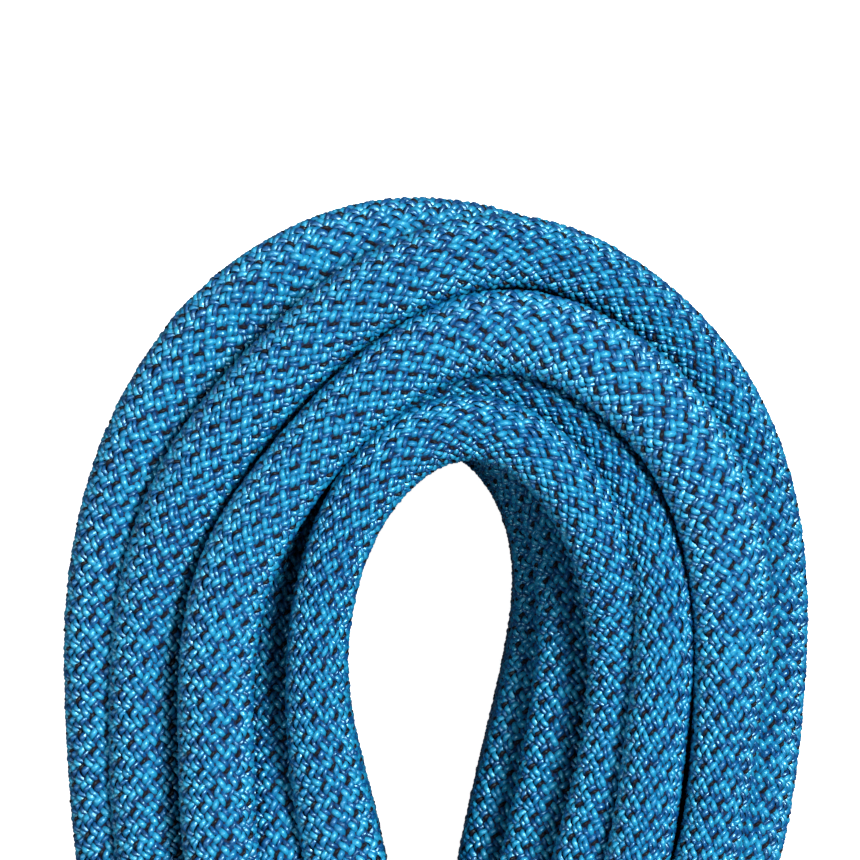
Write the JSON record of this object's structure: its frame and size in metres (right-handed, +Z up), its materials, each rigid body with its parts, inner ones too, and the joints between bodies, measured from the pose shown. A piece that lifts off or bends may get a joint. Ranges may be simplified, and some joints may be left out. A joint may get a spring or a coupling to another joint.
{
  "type": "climbing rope",
  "caption": "Dynamic climbing rope with a braided sheath and a stranded core, wound into a long hank and bound round its waist with its own end.",
  "frame": {"origin": "under the middle of the hank, on the surface that it rests on", "axes": "+X across the hank's width, +Y along the hank towards the head loops, +Z up out of the resting surface"},
  "size_m": [0.1, 0.5, 0.0792],
  "materials": {
    "sheath_blue": "braided nylon, dry treated",
    "core_white": "twisted nylon plies",
    "tape_red": "thin film",
    "fused_blue": "melted nylon",
    "sleeve_black": "heat-shrunk, satin"
  },
  "bodies": {
    "root": {"head_loops": "sheath_blue", "lower_loops": "sheath_blue", "waist_strands": "sheath_blue", "waist_wraps": "sheath_blue", "working_end_run": "sheath_blue", "working_end_sheath": "sheath_blue", "working_end_core_strand_01": "core_white", "working_end_core_strand_02": "core_white", "working_end_core_strand_03": "core_white", "working_end_core_strand_04": "core_white", "working_end_core_strand_05": "core_white", "working_end_core_strand_06": "core_white", "working_end_core_strand_07": "core_white", "working_end_core_strand_08": "core_white", "working_end_core_strand_09": "core_white", "working_end_core_strand_10": "core_white", "working_end_core_strand_11": "core_white", "working_end_core_strand_12": "core_white", "working_end_marker_tape": "tape_red", "working_end_fused_tip": "fused_blue", "working_end_shrink_sleeve": "sleeve_black", "start_end_run": "sheath_blue", "start_end_sheath": "sheath_blue", "start_end_core_strand_01": "core_white", "start_end_core_strand_02": "core_white", "start_end_core_strand_03": "core_white", "start_end_core_strand_04": "core_white", "start_end_core_strand_05": "core_white", "start_end_core_strand_06": "core_white", "start_end_core_strand_07": "core_white", "start_end_core_strand_08": "core_white", "start_end_core_strand_09": "core_white", "start_end_core_strand_10": "core_white", "start_end_core_strand_11": "core_white", "start_end_core_strand_12": "core_white", "start_end_marker_tape": "tape_red", "start_end_fused_tip": "fused_blue", "start_end_shrink_sleeve": "sleeve_black"}
  },
  "joints": []
}
